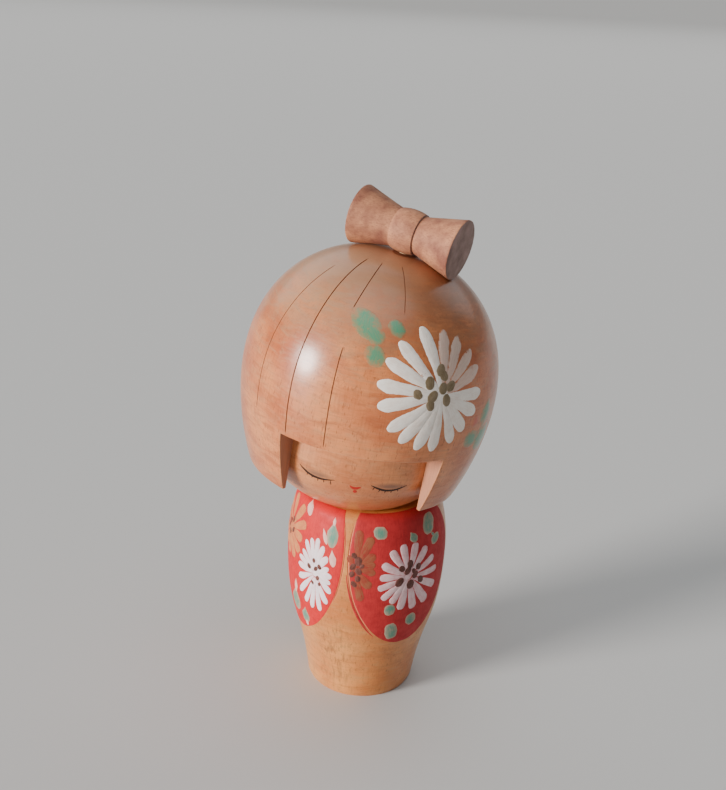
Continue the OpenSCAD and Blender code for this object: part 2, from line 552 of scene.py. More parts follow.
def sawn_wood(name, colour, lean=True):
    """Bare wood on a sawn face, with upright grain and faint saw marks."""
    finish = Finish(name, 0.6)
    colour = srgb(*colour)
    where = finish.place(lean)
    grain = finish.noise(where, (3, 3, 0.12), 4.0, 0.6)
    finish.colour(finish.tint(colour, grain, 0.42, 0.72, darker(colour, 0.7), 0.6))
    marks = finish.noise(where, (0.15, 0.15, 3.2), 2.0)
    finish.bump(finish.plus(marks, grain), 0.05, 0.7)
    return finish.data


def matte_wood(name, light, deep, contrast):
    """Unvarnished stained wood of the bow, with short fibres across it."""
    finish = Finish(name, 0.62)
    deep = srgb(*deep)
    where = finish.place(True)
    cloud = finish.noise(where, 0.2, 4.0)
    colour = finish.tint(srgb(*light), cloud, 0.38, 0.66, deep)
    pores = finish.noise(where, (1.1, 1.9, 2.6), 5.0, 0.7)
    finish.colour(finish.tint(colour, pores, 0.48, 0.76, darker(deep, 0.55), contrast))
    finish.roughness(finish.ramp(cloud, 0.3, 0.7, 0.55, 0.72))
    finish.bump(pores, 0.1, 0.9)
    return finish.data


def paint(name, colour, thin, cover, soft=0.0, gloss=0.46, coat=0.12):
    """Brushed paint, which takes the colour called thin where it is thin.

    That is along the strokes, more so if cover is below 1, and at their edges if it is soft.
    """
    finish = Finish(name, gloss, coat, 0.3)
    hairs = finish.hairs()
    worn = finish.noise(finish.place(), 0.42, 4.0, 0.65)
    bare = finish.plus(finish.times(hairs, 0.45), finish.times(worn, 0.55))
    share = finish.ramp(bare, 0.44, 0.62, 0, 1.6 * (1 - cover))
    if soft:
        rim = finish.plus(finish.from_middle(), finish.ramp(bare, 0.35, 0.65, -0.25, 0.25))
        share = finish.node("Math", {0: share, 1: finish.ramp(rim, 1 - soft, 1.1)}, operation="MAXIMUM")
    finish.colour(finish.mix(share, srgb(*colour), srgb(*thin)))
    finish.roughness(finish.ramp(worn, 0.3, 0.7, gloss - 0.06, gloss + 0.12))
    finish.bump(hairs, 0.05, 0.8)
    return finish.data


# Colours are sRGB values of 0 to 255
CROWN_SHEEN_SHADE = 0.8           # how far the crown takes its painted sheen and shade
HAIR_TONES = (226, 142, 86), (190, 96, 50), (200, 136, 92)
FACE_TONES = (220, 142, 88), (198, 112, 64), (202, 140, 96)
BODY_TONES = (230, 156, 86), (204, 120, 60), (206, 146, 88)
EDGE_TONES = (222, 148, 98), (204, 126, 80), (206, 146, 104)
DOWEL_TONES = (222, 190, 150), (206, 168, 124), (196, 160, 124)

hair_wood = wood("hair_wood", HAIR_TONES, faded=CROWN_SHEEN_SHADE, lean=True)
face_wood = wood("face_wood", FACE_TONES, lean=True, marks=shade_lids)
body_wood = wood("body_wood", BODY_TONES, coat=0.4, marks=streak_grain)
edge_wood = wood("edge_wood", EDGE_TONES, lean=True)
dowel_wood = wood("dowel_wood", DOWEL_TONES, gloss=0.6, coat=0)
cut_wood = sawn_wood("cut_wood", (188, 128, 98))
groove_dark = sawn_wood("groove_dark", (128, 78, 52))
groove_light = sawn_wood("groove_light", (226, 132, 96), lean=False)
bow_wood = matte_wood("bow_wood", (198, 136, 100), (144, 90, 72), 0.7)
bow_end = matte_wood("bow_end", (166, 134, 126), (132, 106, 98), 0.4)
red = paint("red_paint", (214, 38, 40), (180, 24, 30), 0.6, gloss=0.58, coat=0.02)
# A darker copy of the red: painted shade for the lapel on the doll's left, away from the window
red_shaded = paint("red_shaded", (190, 44, 46), (156, 30, 34), 0.6, gloss=0.58, coat=0.02)
petal_white = paint("petal_white", (255, 246, 236), (214, 176, 152), 0.8)
petal_bright = paint("petal_bright", (250, 236, 240), (222, 150, 154), 0.82, 0.12)
petal_pink = paint("petal_pink", (236, 202, 204), (206, 130, 134), 0.6, 0.2)
bronze = paint("bronze_paint", (218, 138, 82), (190, 78, 56), 0.6, 0.25)
bronze_thin = paint("bronze_thin", (150, 86, 58), (152, 40, 34), 0.4, 0.45)
olive = paint("olive_paint", (122, 104, 76), (150, 132, 108), 0.5, 0.4)
dot_brown = paint("dot_brown", (84, 46, 36), (130, 80, 72), 0.5, 0.3, coat=0)
leaf = paint("leaf_paint", (92, 142, 122), (196, 160, 136), 0.6, 0.66)
tip_pink = paint("tip_pink", (244, 196, 178), (230, 140, 126), 0.7, 0.2)
lash = paint("lash_paint", (46, 26, 18), (84, 54, 40), 0.8, gloss=0.6, coat=0)
lip = paint("lip_paint", (184, 24, 14), (190, 60, 36), 0.8)
petal_faded = wash("petal_faded", (236, 220, 208), 0.66, 0.35)
head_leaf = wash("head_leaf", (70, 146, 112), 0.95, 0.75)
bud_red = wash("bud_red", (200, 66, 44), 0.7, 0.9)


# ---- turned pieces

def make_body():
    """The body: a full outline, the two cut lines of the kimono and the neck hole."""
    side = body_outline()
    outline = np.vstack([[(0, 0), (8, 0)], side[::2], side[-1:], [(9, BODY_H), (0, BODY_H)]])
    mesh = turned_mesh("body_turned", outline, UPRIGHT, 240)
    piece = finish_mesh("body_turned", mesh, [body_wood], "torso")
    lines = lapel_line(LEFT_LAPEL, -1, 0.5, -56), lapel_line(RIGHT_LAPEL, 1, 0.34, -34)
    cut_lines(piece, lines, groove_light)
    drill(piece, UPRIGHT, NECK_R, BODY_H - NECK_HOLE_DOWN, BODY_H + 1, dowel_wood)
    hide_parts("body")


class Egg:
    """An egg-shaped area on the body: a centre, reaches to each side in degrees, and reaches down and up."""

    def __init__(self, azimuth, run, right, left, down, up_right, up_left):
        self.azimuth = azimuth
        self.run = run
        self.reach = {-1: (right, up_right), 1: (left, up_left)}
        self.down = down

    def edge(self, hand, run, grow=0.0):
        """The azimuth of the edge on the doll's right, hand -1, or left, hand 1."""
        side, up = self.reach[hand]
        rise = np.asarray(run) - self.run
        share = np.where(rise < 0, rise / (self.down + grow), rise / up)
        across = np.sqrt(np.clip(1 - share ** 2, 0, 1))
        return self.azimuth + hand * (side + grow * DEGREES_PER_MM) * across


LEFT_LAPEL = Egg(34, 50.8, 46, 46, 29.6, 32, 16)
RIGHT_LAPEL = Egg(-64, 52.1, 49, 49.2, 31.4, 30, 30)
BODY_TOP_RUN = BODY_SIDE.run[-1]


def lapel_line(lapel, hand, width, lowest):
    """The cut line along a lapel's inner edge, from the shoulder to a low angle round the egg."""
    angle = np.radians(np.linspace(lowest, 0, 60))
    low = lapel.run + lapel.down * np.sin(angle)
    high = np.linspace(lapel.run, BODY_TOP_RUN - 1.2, 20)[1:]
    runs = np.hstack([low, high])
    return blade(BODY_SIDE, lapel.edge(hand, runs), runs, width, 0.2, 0.14)


WINDOW_COLS = 38           # columns of the hair's grids across the face window
FRINGE_ROW = 17            # and rows from the rim up to the fringe


def hair_grids():
    """The outside and the bore. Rows go up from the rim, and columns go round from the right lock."""
    window = np.linspace(LOCK_RIGHT, LOCK_LEFT, WINDOW_COLS + 1)
    azimuths = np.hstack([window, np.linspace(LOCK_LEFT, LOCK_RIGHT + 360, 143)[1:-1]])
    low = -np.linspace(RIM_DROP, FRINGE_DROP, FRINGE_ROW + 1)
    side = np.hstack([low, -np.linspace(FRINGE_DROP, 0, 9)[1:]])
    runs = np.hstack([HAIR_SIDE.run_at(side), np.linspace(0, HAIR_SIDE.run[-1], 52)[1:]])
    heights = np.hstack([low, [-4, 0, 3, BORE_RISE, BORE_RISE, BORE_RISE]])
    radii = np.hstack([np.full(len(low) + 4, BORE_R), [BORE_R / 2, 0]])
    bore = rings(np.stack([radii, heights], axis=1), np.radians(azimuths), HEAD)
    return HAIR_SIDE.spots(azimuths, runs[:, None]), bore


def hair_faces(rows, bore_rows, cols):
    """Faces of both grids without the window, then the undersides and the two sawn walls."""
    start = rows * cols
    faces = []
    for first, count, flip in ((0, rows, False), (start, bore_rows, True)):
        for number, face in enumerate(grid_faces(count, cols, first, closed=True, flip=flip)):
            row, col = divmod(number, cols)
            if row >= FRINGE_ROW or col >= WINDOW_COLS:
                faces.append(face)
    for col in range(cols):
        row_start = FRINGE_ROW * cols if col < WINDOW_COLS else 0
        here = row_start + col
        beside = row_start + (col + 1) % cols
        faces.append((here, start + here, start + beside, beside))
    for col, flip in ((0, True), (WINDOW_COLS, False)):
        for here in range(col, FRINGE_ROW * cols, cols):
            wall = (here, start + here, start + here + cols, here + cols)
            faces.append(wall[::-1] if flip else wall)
    return faces


def make_hair():
    """The hair shell with its bore and sawn face window, then its cut lines and the bow's seat."""
    outside, bore = hair_grids()
    points = np.vstack([outside.reshape(-1, 3), bore.reshape(-1, 3)])
    mesh = merged(mesh_from("hair_shell", points, hair_faces(len(outside), len(bore), outside.shape[1])))
    for material in (hair_wood, cut_wood, edge_wood):
        mesh.materials.append(material)
    mark_inner_faces(mesh)
    piece = finish_mesh("hair_shell", eased(mesh, 0.22, 2), [], "head")
    cut_lines(piece, hair_lines(), groove_dark)
    drill(piece, BOW, BOW_PEG_R, -BOW_SEAT - BOW_HOLE_DOWN, 0, cut_wood)
    drill(piece, BOW, BOW_SEAT_R, -BOW_SEAT, 0, groove_dark)
    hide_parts("hair_cap")


def mark_inner_faces(mesh):
    """Gives the bore, the sawn faces and the undersides the bare wood."""
    inverse = HEAD.inverted()
    turn = inverse.to_3x3()
    for face in mesh.polygons:
        centre = inverse @ (face.center / MM)
        radius = hypot(centre.x, centre.y)
        facing = (turn @ face.normal).dot(Vector((centre.x, centre.y, max(centre.z, 0))).normalized())
        if facing < 0.5 and radius < HAIR_R:
            face.material_index = 1


# Cut lines of the hair: azimuth at the lower end and at the upper, the heights of both, and the width
HAIR_LINES = [
    (-54, -53, -6, 33, 0.27), (-34.5, -34.5, -8.3, 35.6, 0.33), (-16, -16, -8.3, 18.6, 0.28),
    (-18, -13, 25.5, 35.6, 0.27), (10.6, 14, 27, 35.6, 0.22), (-98, -98, -18, 20, 0.34),
    (-120, -120, -20, 33, 0.34), (-142, -142, -20, 35, 0.34), (-165, -165, -20, 34, 0.34),
    (172, 172, -20, 35, 0.34), (150, 150, -20, 34, 0.34), (128, 128, -20, 33, 0.34),
    (104, 104, -16, 19, 0.34),
]


def hair_lines():
    """Blades for the cut lines, each with a slight sway."""
    blades = []
    for low_azimuth, high_azimuth, low, high, width in HAIR_LINES:
        ends = HAIR_SIDE.run_at(low), HAIR_SIDE.run_at(high)
        runs = np.linspace(*ends, 80)
        sway = 0.25 * np.sin(runs / 7 + low_azimuth)
        fade = min(0.3, 1.6 / (ends[1] - ends[0]))
        azimuths = np.linspace(low_azimuth, high_azimuth, 80) + sway
        blades.append(blade(HAIR_SIDE, azimuths, runs, width, 0.62 * width, fade))
    return blades


def make_face():
    """The face plug, cut flat where it stands on the body and drilled for the neck."""
    side = core_outline()
    top = [(BORE_R - 1, CORE_TOP), (14, CORE_TOP), (0, CORE_TOP)]
    upright = [(BORE_R, height) for height in np.linspace(-CHIN_START, CORE_TOP - 1, 14)[1:]]
    outline = np.vstack([[(0, side[0][1])], side[:-1:2], upright, top])
    mesh = turned_mesh("face_plug", outline, HEAD, 180)
    level = Vector((0, 0, BODY_H * MM))
    with editing(mesh) as work:
        whole = [*work.verts, *work.edges, *work.faces]
        cut = bmesh.ops.bisect_plane(work, geom=whole, plane_co=level, plane_no=(0, 0, -1), clear_outer=True)
        rim = [item for item in cut["geom_cut"] if isinstance(item, bmesh.types.BMEdge)]
        bmesh.ops.contextual_create(work, geom=rim)
        bmesh.ops.recalc_face_normals(work, faces=work.faces)
    piece = finish_mesh("face_plug", mesh, [face_wood], "head")
    drill(piece, UPRIGHT, NECK_R + TURNING_GAP, BODY_H - 1, BODY_H + NECK_HOLE_UP, dowel_wood)
    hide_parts("face_core")


def bow_outline():
    """(radius, distance along the bow), with a soft step left of the knot and a cut right of it."""
    wing = np.linspace(0, 1, 16)
    flare = BOW_WAIST_R + (BOW_END_R - BOW_WAIST_R) * wing
    reach = KNOT_HALF + 0.5 + (BOW_HALF - KNOT_HALF - 0.8) * wing
    soft = flare + 0.15 * (1 - wing) ** 6
    left = list(zip(soft[::-1], -reach[::-1]))
    right = list(zip(flare, reach))
    knot = [(KNOT_R - (KNOT_R - KNOT_EDGE_R) * t ** 2, t * KNOT_HALF) for t in np.linspace(-1, 1, 9)]
    end = [(BOW_END_R - 0.06, BOW_HALF - 0.1), (BOW_END_R - 0.25, BOW_HALF), (4, BOW_HALF), (0, BOW_HALF)]
    start = [(radius, -reach) for radius, reach in end[::-1]]
    return [*start, *left, *knot, (5.05, KNOT_HALF + 0.12), *right, *end]


def make_bow():
    """The bow, turned about its own length, with rough fibres on its rims and a flat under the knot."""
    mesh = turned_mesh("bow_spool", bow_outline(), Matrix.Rotation(pi / 2, 4, "Y"), 144)
    chance = np.random.RandomState(5)
    for vertex in mesh.vertices:
        point = vertex.co / MM
        radius = hypot(point.y, point.z)
        if abs(point.x) > BOW_HALF - 0.5 and radius > BOW_END_R - 0.5:
            vertex.co *= 1 - 0.004 * chance.rand()
        if abs(point.x) < KNOT_HALF and point.z < -BOW_SEAT:
            vertex.co.z = -BOW_SEAT * MM
    mesh.transform(Matrix.Translation(BOW.translation * MM) @ BOW.to_3x3().to_4x4())
    along = (BOW.to_3x3() @ Vector((1, 0, 0))).normalized()
    piece = finish_mesh("bow_spool", mesh, [bow_wood, bow_end], "head")
    for face in mesh.polygons:
        if abs(face.normal.dot(along)) > 0.8:
            face.material_index = 1
    drill(piece, BOW, BOW_PEG_R, -BOW_SEAT - 1, BOW_HOLE_UP, cut_wood)
    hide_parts("bow")


# ---- brush work

def wobble(count, amount, seed, waves=3):
    """A smooth random line of that many values, within about plus or minus amount."""
    chance = np.random.RandomState(seed)
    t = np.linspace(0, 2 * pi, count)
    line = sum(np.sin(t * (wave + chance.rand()) + 6.3 * chance.rand()) for wave in range(1, waves + 1))
    return amount * line / waves


def heading(angle):
    """The (u, v) direction at an angle from straight up, towards +u."""
    return np.array([sin(radians(angle)), cos(radians(angle))])


class Painting:
    """Brush strokes on a turned surface, round a hub: u towards the doll's left and v up, in mm."""

    def __init__(self, hub, seed, base=0):
        """hub is (surface, azimuth, run), and base is the height of what is painted over."""
        self.side, self.azimuth, self.run = hub
        self.seed = seed
        self.base = base
        self.points = []
        self.faces = []
        self.brush = []
        self.edge = []

    def slab(self, azimuths, runs, lift, brush, edge):
        """A thin closed layer over a grid of places; lift is the height of its upper side.

        brush holds mm across and along the strokes, and edge runs from -1 to 1 both ways.
        """
        rows, cols = azimuths.shape
        count = rows * cols
        first = sum(len(group) for group in self.points)
        upper = self.side.spots(azimuths, runs, lift)
        under = self.side.spots(azimuths, runs, -SOAK)
        self.points += [upper.reshape(-1, 3), under.reshape(-1, 3)]
        self.brush += [brush.reshape(-1, 2)] * 2
        self.edge += [edge.reshape(-1, 2)] * 2
        self.faces += grid_faces(rows, cols, first)
        self.faces += grid_faces(rows, cols, first + count, flip=True)
        grid = np.arange(count).reshape(rows, cols)
        rim = np.hstack([grid[0], grid[1:, -1], grid[-1, -2::-1], grid[-2:0:-1, 0]]).tolist()
        for here, ahead in zip(rim, rim[1:] + rim[:1]):
            self.faces.append((first + ahead, first + here, first + count + here, first + count + ahead))

    def stroke(self, spine, halves, height, cols=9):
        """A low rounded ridge along a spine of (u, v) points, with a half width at each."""
        self.seed += 1
        spine = np.array(spine, dtype=float)
        halves = np.array(halves, dtype=float)
        ahead = np.gradient(spine, axis=0)
        ahead /= np.linalg.norm(ahead, axis=1, keepdims=True)
        side = np.stack([ahead[:, 1], -ahead[:, 0]], axis=1)
        across = np.sin(np.linspace(-1, 1, cols) * pi / 2)
        rows = len(spine)
        left = halves * (1 + wobble(rows, 0.09, self.seed))
        right = halves * (1 + wobble(rows, 0.09, self.seed + 500))
        reach = np.where(across[None, :] < 0, left[:, None], right[:, None]) * across
        u = spine[:, :1] + side[:, :1] * reach
        v = spine[:, 1:] + side[:, 1:] * reach
        ends = np.sin(np.linspace(0, pi, rows)) ** 0.35
        dome = (1 - np.abs(across) ** 3)[None, :] * ends[:, None]
        ridges = 1 + 0.16 * np.sin(across * 7 + 6.3 * np.random.RandomState(self.seed).rand())[None, :]
        lift = self.base + height * dome * ridges - TUCK * (1 - dome)
        lift = np.where(dome <= 0.001, -TUCK, lift)
        runs = self.run + v
        azimuths = self.azimuth + np.degrees(u / self.side.radius_at(runs))
        length = np.hstack(([0], np.cumsum(np.linalg.norm(np.diff(spine, axis=0), axis=1))))
        brush = np.stack([reach + self.seed * 3.7, np.broadcast_to(length[:, None], reach.shape)], axis=-1)
        ahead = np.linspace(-1, 1, rows)[:, None]
        edge = np.stack(np.broadcast_arrays(across[None, :], ahead), axis=-1)
        self.slab(azimuths, runs, lift, brush, edge)

    def petal(self, angle, length, width, root, waist, height=0.1, blunt=1, tip=0.5):
        """A petal that starts at root of its length and waist of its width, and widens outwards.

        Its tip is tip widths long, and squarer if blunt is below 1.
        """
        cap = 1 - tip * width / length
        body = np.linspace(root, cap, 9)[:-1]
        turn = np.radians(np.linspace(0, 82, 7))
        share = np.hstack([body, cap + (1 - cap) * np.sin(turn)])
        widen = waist + (1 - waist) * smooth((body - root) / (0.8 - root))
        halves = 0.5 * width * np.hstack([widen, np.cos(turn) ** blunt])
        bow = heading(angle + 90) * wobble(1, 0.25, self.seed + 900)[0]
        spine = share[:, None] * length * heading(angle) + (share * (1 - share) * 4)[:, None] * bow
        self.stroke(spine, halves, height)

    def blot(self, u, v, width, length, angle=0, point=0, square=1, height=0.07):
        """An oval spot. point draws its upper end out into a tip, and square below 1 fills its corners."""
        turn = np.radians(np.linspace(-84, 84, 15))
        halves = 0.5 * width * np.cos(turn) ** square * (1 - point * smooth(np.sin(turn)))
        spine = np.array([u, v]) + 0.5 * length * np.sin(turn)[:, None] * heading(angle)
        self.stroke(spine, halves, height)

    def line(self, spots, half, height):
        """A thin tapered line through (u, v) spots, smoothed."""
        spots = np.array(spots, dtype=float)
        t = np.linspace(0, 1, len(spots))
        fine = np.linspace(0, 1, 26)
        bend = np.polyfit(t, spots, min(3, len(spots) - 1))
        spine = np.stack([np.polyval(bend[:, axis], fine) for axis in (0, 1)], axis=1)
        halves = half * np.clip(np.sin(pi * fine), 0.12, 1) ** 0.6
        self.stroke(spine, halves, height, cols=5)

    def piece(self, name, material, slot):
        """Makes a piece of all the strokes so far."""
        maps = [("brush", np.vstack(self.brush)), ("edge", np.vstack(self.edge))]
        mesh = mesh_from(name, np.vstack(self.points), self.faces, maps)
        finish_mesh(name, mesh, [material], self.side.body)


def paint_lapel(name, lapel, hand, material):
    """A lapel's red coat. Its inner edge, on the side given by hand, stops at the cut line."""
    turn = np.radians(np.linspace(6, 90, 30))
    low = lapel.run - lapel.down * np.cos(turn)
    high = np.linspace(lapel.run, BODY_TOP_RUN, 40)[1:]
    runs = np.hstack([low, high])
    rows = len(runs)
    edges = {}
    for side in (-1, 1):
        margin = -0.22 if side == hand else 0.0
        edges[side] = lapel.edge(side, runs, margin) + wobble(rows, 0.12 * DEGREES_PER_MM, 40 + side, 6)
    across = np.hstack([[0, 0.006], np.linspace(0, 1, 46)[1:-1], [0.994, 1]])
    azimuths = edges[-1][:, None] + (edges[1] - edges[-1])[:, None] * across
    lift = np.full(azimuths.shape, RED_LIFT)
    lift[:, 0] = lift[:, -1] = -TUCK
    lift[0, :] = -TUCK
    grid_runs = np.broadcast_to(runs[:, None], azimuths.shape)
    coat = Painting((BODY_SIDE, lapel.azimuth, lapel.run), 1)
    u = np.radians(azimuths - lapel.azimuth) * CHEST_R
    edge = np.stack(np.broadcast_arrays(2 * across - 1, np.linspace(-1, 1, rows)[:, None]), axis=-1)
    coat.slab(azimuths, grid_runs, lift, np.stack([u, grid_runs], axis=-1), edge)
    if lapel is LEFT_LAPEL:
        overrun(coat, lapel, hand)
    coat.piece(name, material, "red_paint")


def overrun(coat, lapel, hand):
    """The brush ran about a millimetre over the cut line below the chest."""
    turn = np.radians(np.linspace(8, 62, 26))
    runs = lapel.run - lapel.down * np.sin(turn)
    shares = np.sin(np.linspace(0, pi, 26)) ** 0.7
    azimuths = lapel.edge(hand, runs, 0.56)
    v = runs - lapel.run
    u = np.radians(azimuths - lapel.azimuth) * BODY_SIDE.radius_at(runs)
    coat.stroke(np.stack([u, v], axis=1), 0.1 + 0.26 * shares, 0.05, cols=5)


def make_flower(name, hub, seed, petals, width, dots, paints, **shape):
    """A brushed flower: petals of (angle, length) round a hub, and dots of (u, v, size).

    A petal can have a width of its own. paints holds a material and a slot for the petals, then for the dots;
    the slots are not used.
    """
    base = RED_LIFT if hub[0] is BODY_SIDE else 0.0
    material, slot, dot_material, dot_slot = paints
    blooms = Painting(hub, seed, base)
    for angle, length, *own_width in petals:
        blooms.petal(angle, length, *(own_width or [width]), **shape)
    blooms.blot(0, 0, 1.15 * width, 1.15 * width, 40)
    blooms.piece(name + "_petals", material, slot)
    centre = Painting(hub, seed + 60, base + 0.1)
    for number, (u, v, size) in enumerate(dots):
        centre.blot(u, v, size, size * (1.15 + 0.1 * (number % 3)), 37 * number % 90 - 40, height=0.06)
    centre.piece(name + "_dots", dot_material, dot_slot)


def make_blots(name, hub, seed, rows, material, slot):
    """Oval spots. Each row has what blot takes: u, v, width, length, angle, point, square and height."""
    spots = Painting(hub, seed, RED_LIFT if hub[0] is BODY_SIDE else 0)
    for row in rows:
        spots.blot(*row)
    spots.piece(name, material, slot)


BROWN_DOTS = dot_brown, "dark_paint"
HEAD_HUB = HAIR_SIDE, 30.5, 9.9
LEFT_HUB = BODY_SIDE, 31.5, 44.9
RIGHT_HUB = BODY_SIDE, -36.6, 43.2


def make_head_flower():
    """The white flower on the hair, with four worn petals and a worn dot in thinner paint."""
    shape = {"root": 0.04, "waist": 0.42, "height": 0.12, "tip": 0.95}
    thin = Painting(HEAD_HUB, 160, -0.02)
    for angle, length, width in [(4, 16.6, 3.8), (21, 15.9, 3.7), (43, 14.7, 3.7), (64, 14.2, 4.2)]:
        thin.petal(angle, length, width, **shape)
    thin.blot(-5.3, 5.5, 1.8, 2.4, 30, height=0.11)
    thin.piece("head_flower_faded", petal_faded, "petal_paint")
    petals = [
        (-16, 17.9), (93, 14.4), (115, 14.4), (138, 14), (157, 14.6, 3.2), (180, 15.3, 3.4), (-162, 15.5),
        (-143, 16), (-126, 16.4), (-103, 17.1), (-84, 17.3), (-62, 17), (-41, 17.1),
    ]
    dots = [
        (-6.7, 0.2, 2.5), (-3.6, 3.1, 2.8), (-2.6, -0.4, 2.7), (-3, -2.6, 2.5), (-0.6, 6.3, 2.6),
        (0.3, 5, 2.4), (0.3, 1.7, 2.7), (2.6, 2.2, 2.5), (1.6, -1.3, 2.5),
    ]
    paints = petal_white, "petal_paint", olive, "bronze_paint"
    make_flower("head_flower", HEAD_HUB, 100, petals, 3.7, dots, paints, **shape)


def make_head_leaves():
    """Soft green leaves round the head flower, and one small red bud."""
    leaves = [
        (-19, 15.8, 8.4, 8, 20, 0, 0.8), (-17.2, 13.6, 6, 5.2, -30, 0, 0.8), (-11.3, 15.9, 4.8, 5),
        (-17.6, 8.4, 6, 5.8, 30, 0.2), (20.6, -15, 10.5, 8.6, 40, 0.3, 0.8), (14, -13.8, 7, 5.6, 10),
        (19.6, -7.6, 6.4, 8, 10, 0.4),
    ]
    make_blots("head_leaves", HEAD_HUB, 300, leaves, head_leaf, "leaf_paint")
    make_blots("head_bud", HEAD_HUB, 340, [(14.2, -8.8, 3.6, 3.8, 20, 0, 1, 0.05)], bud_red, "red_paint")


def make_left_flower():
    """The white flower on the doll's left lapel."""
    petals = [
        (-32, 10, 2.5), (-10, 10, 2.4), (14, 9.8, 2.6), (40, 9.7, 2.8), (71, 10.1, 2.5), (96, 11.5, 2.3),
        (121, 12.9, 2.6), (145, 13.1, 3.1), (167, 11.7, 2.8), (-171, 10.8, 2.8), (-150, 9.4, 2.4),
        (-131, 9.9, 2.3), (-109, 9.3, 2.3), (-86, 8.5, 2.4), (-60, 9.1, 2.6),
    ]
    dots = [
        (-2.2, 2.7, 1.9), (0.4, 3.6, 2.1), (-0.3, 1.7, 2), (3.2, 2.2, 1.9), (2.2, -0.1, 2),
        (4.3, -2.2, 1.9), (0.8, -2.8, 2.6), (-2.7, -1.4, 2.5), (1.6, 1.3, 1.2),
    ]
    paints = petal_pink, "petal_paint", *BROWN_DOTS
    make_flower("left_flower", LEFT_HUB, 400, petals, 2.1, dots, paints, root=0.04, waist=0.4, blunt=0.65)


def make_right_flower():
    """The white flower on the doll's right lapel."""
    petals = [
        (-27, 9.9), (-13, 10.4, 1.7), (0, 10.9, 1.7), (13, 9.5), (30, 7.5, 2.1), (54, 5.4), (81, 5.5, 2.4),
        (108, 5.3, 1.9), (133, 7, 2.2), (156, 9.5, 2.1), (173, 12), (-173, 12.1), (-160, 11.7, 1.7),
        (-143, 10.7, 1.9), (-119, 8.1, 2.1), (-88, 7.4, 2.3), (-66, 7.6, 2.1), (-45, 7.8, 2),
    ]
    dots = [
        (-2.4, 1.5, 1.5), (-0.7, 3.9, 1.2), (0.1, 1.6, 1.3), (1.3, 2.6, 1.4), (0.8, -1.1, 1.3),
        (-1, -3.2, 1), (1.4, -2.9, 1),
    ]
    paints = petal_bright, "petal_paint", *BROWN_DOTS
    make_flower("right_flower", RIGHT_HUB, 500, petals, 1.8, dots, paints, root=0.04, waist=0.4, tip=0.8)


def make_bronze_flowers():
    """The bronze flower that the left lapel's edge cuts off, and the one at the doll's far right."""
    petals = [
        (2, 11.1, 2.9), (23, 10.2, 3), (49, 6.8, 3), (76, 5.6), (104, 5.7), (144, 7.4, 3.1),
        (170, 10.5, 2.7), (-30, 4.1, 2),
    ]
    dots = [
        (-0.6, 3.7, 1.6), (0.6, 2.2, 2.2), (-0.8, 0.4, 1.7), (0.8, -0.8, 1.9), (-1, -1.9, 1.6),
        (-0.3, -4.9, 1.6), (0.7, -3.1, 1.7), (1.7, 0.8, 1.2),
    ]
    hub = BODY_SIDE, -6.5, 48.1
    paints = bronze_thin, "bronze_paint", *BROWN_DOTS
    make_flower("centre_flower", hub, 600, petals, 2.6, dots, paints, root=0.05, waist=0.4, height=0.06)
    petals = [
        (-10, 9.9), (30, 10), (62, 8.9), (96, 7.4), (128, 8.4), (156, 9), (-176, 8.6), (-146, 8.2),
        (-112, 8.8), (-78, 9.4), (-44, 9.8),
    ]
    dots = [(-1.4, 1.2, 1.4), (0.6, 2.4, 1.5), (1.6, -0.4, 1.4), (-0.6, -1.8, 1.5), (-2.4, -0.6, 1.2)]
    hub = BODY_SIDE, -71.2, 51.7
    paints = bronze, "bronze_paint", *BROWN_DOTS
    make_flower("side_flower", hub, 700, petals, 3.1, dots, paints, root=0.12, waist=0.45, blunt=0.7)


def make_lapel_leaves():
    """The leaves on both lapels, and the pink tips and buds beside those on the doll's right."""
    left = [
        (-8, 13.6, 4.2, 3.6, 0, 0, 0.6), (1.6, 11.2, 2.8, 3.6, -30, 0.7), (7.6, 13.4, 5.4, 6.2, 0, 0, 0.75),
        (10.4, 8.1, 4.6, 3, -10, 0, 0.8), (9.2, 9.8, 1, 1.8, -50), (-4.8, -10.2, 3.5, 3.8, -14, 0, 0.7),
        (2.6, -15.2, 4, 4.3, -20, 0, 0.7), (-3.3, -18.2, 4.2, 6.3, -14, 0, 0.5),
    ]
    right = [
        (4.2, 13.2, 3.9, 7.8, -4, 0.8), (-9.6, -13.4, 6, 7.4, 4, 0.5, 0.8), (-4.8, -16.4, 3.8, 6, 4, 0.8),
    ]
    tips = [
        (2, 12, 1.4, 4.6, -24, 0.6), (4, 16.8, 1, 2.6, -6, 0.6, 1, 0.09),
        (5.2, 6.4, 2.3, 5.2, -10, 0.8), (-5.4, 17.8, 2.9, 4.8, -14, 0.8),
        (-9, -8.2, 1.8, 4.8, 4, 0.6, 1, 0.09), (-4.6, -19.2, 1.3, 2.4, 4, 0.6, 1, 0.09),
    ]
    make_blots("left_leaves", LEFT_HUB, 800, left, leaf, "leaf_paint")
    make_blots("right_leaves", RIGHT_HUB, 840, right, leaf, "leaf_paint")
    make_blots("leaf_tips", RIGHT_HUB, 880, tips, tip_pink, "petal_paint")


EYE_RUN = FACE_SIDE.run_at(-19.5)


def face_spot(azimuth, height):
    """The (u, v) place of an azimuth and a height on the face, from the level of the eyes."""
    run = FACE_SIDE.run_at(height)
    return radians(azimuth) * FACE_SIDE.radius_at(run), run - EYE_RUN


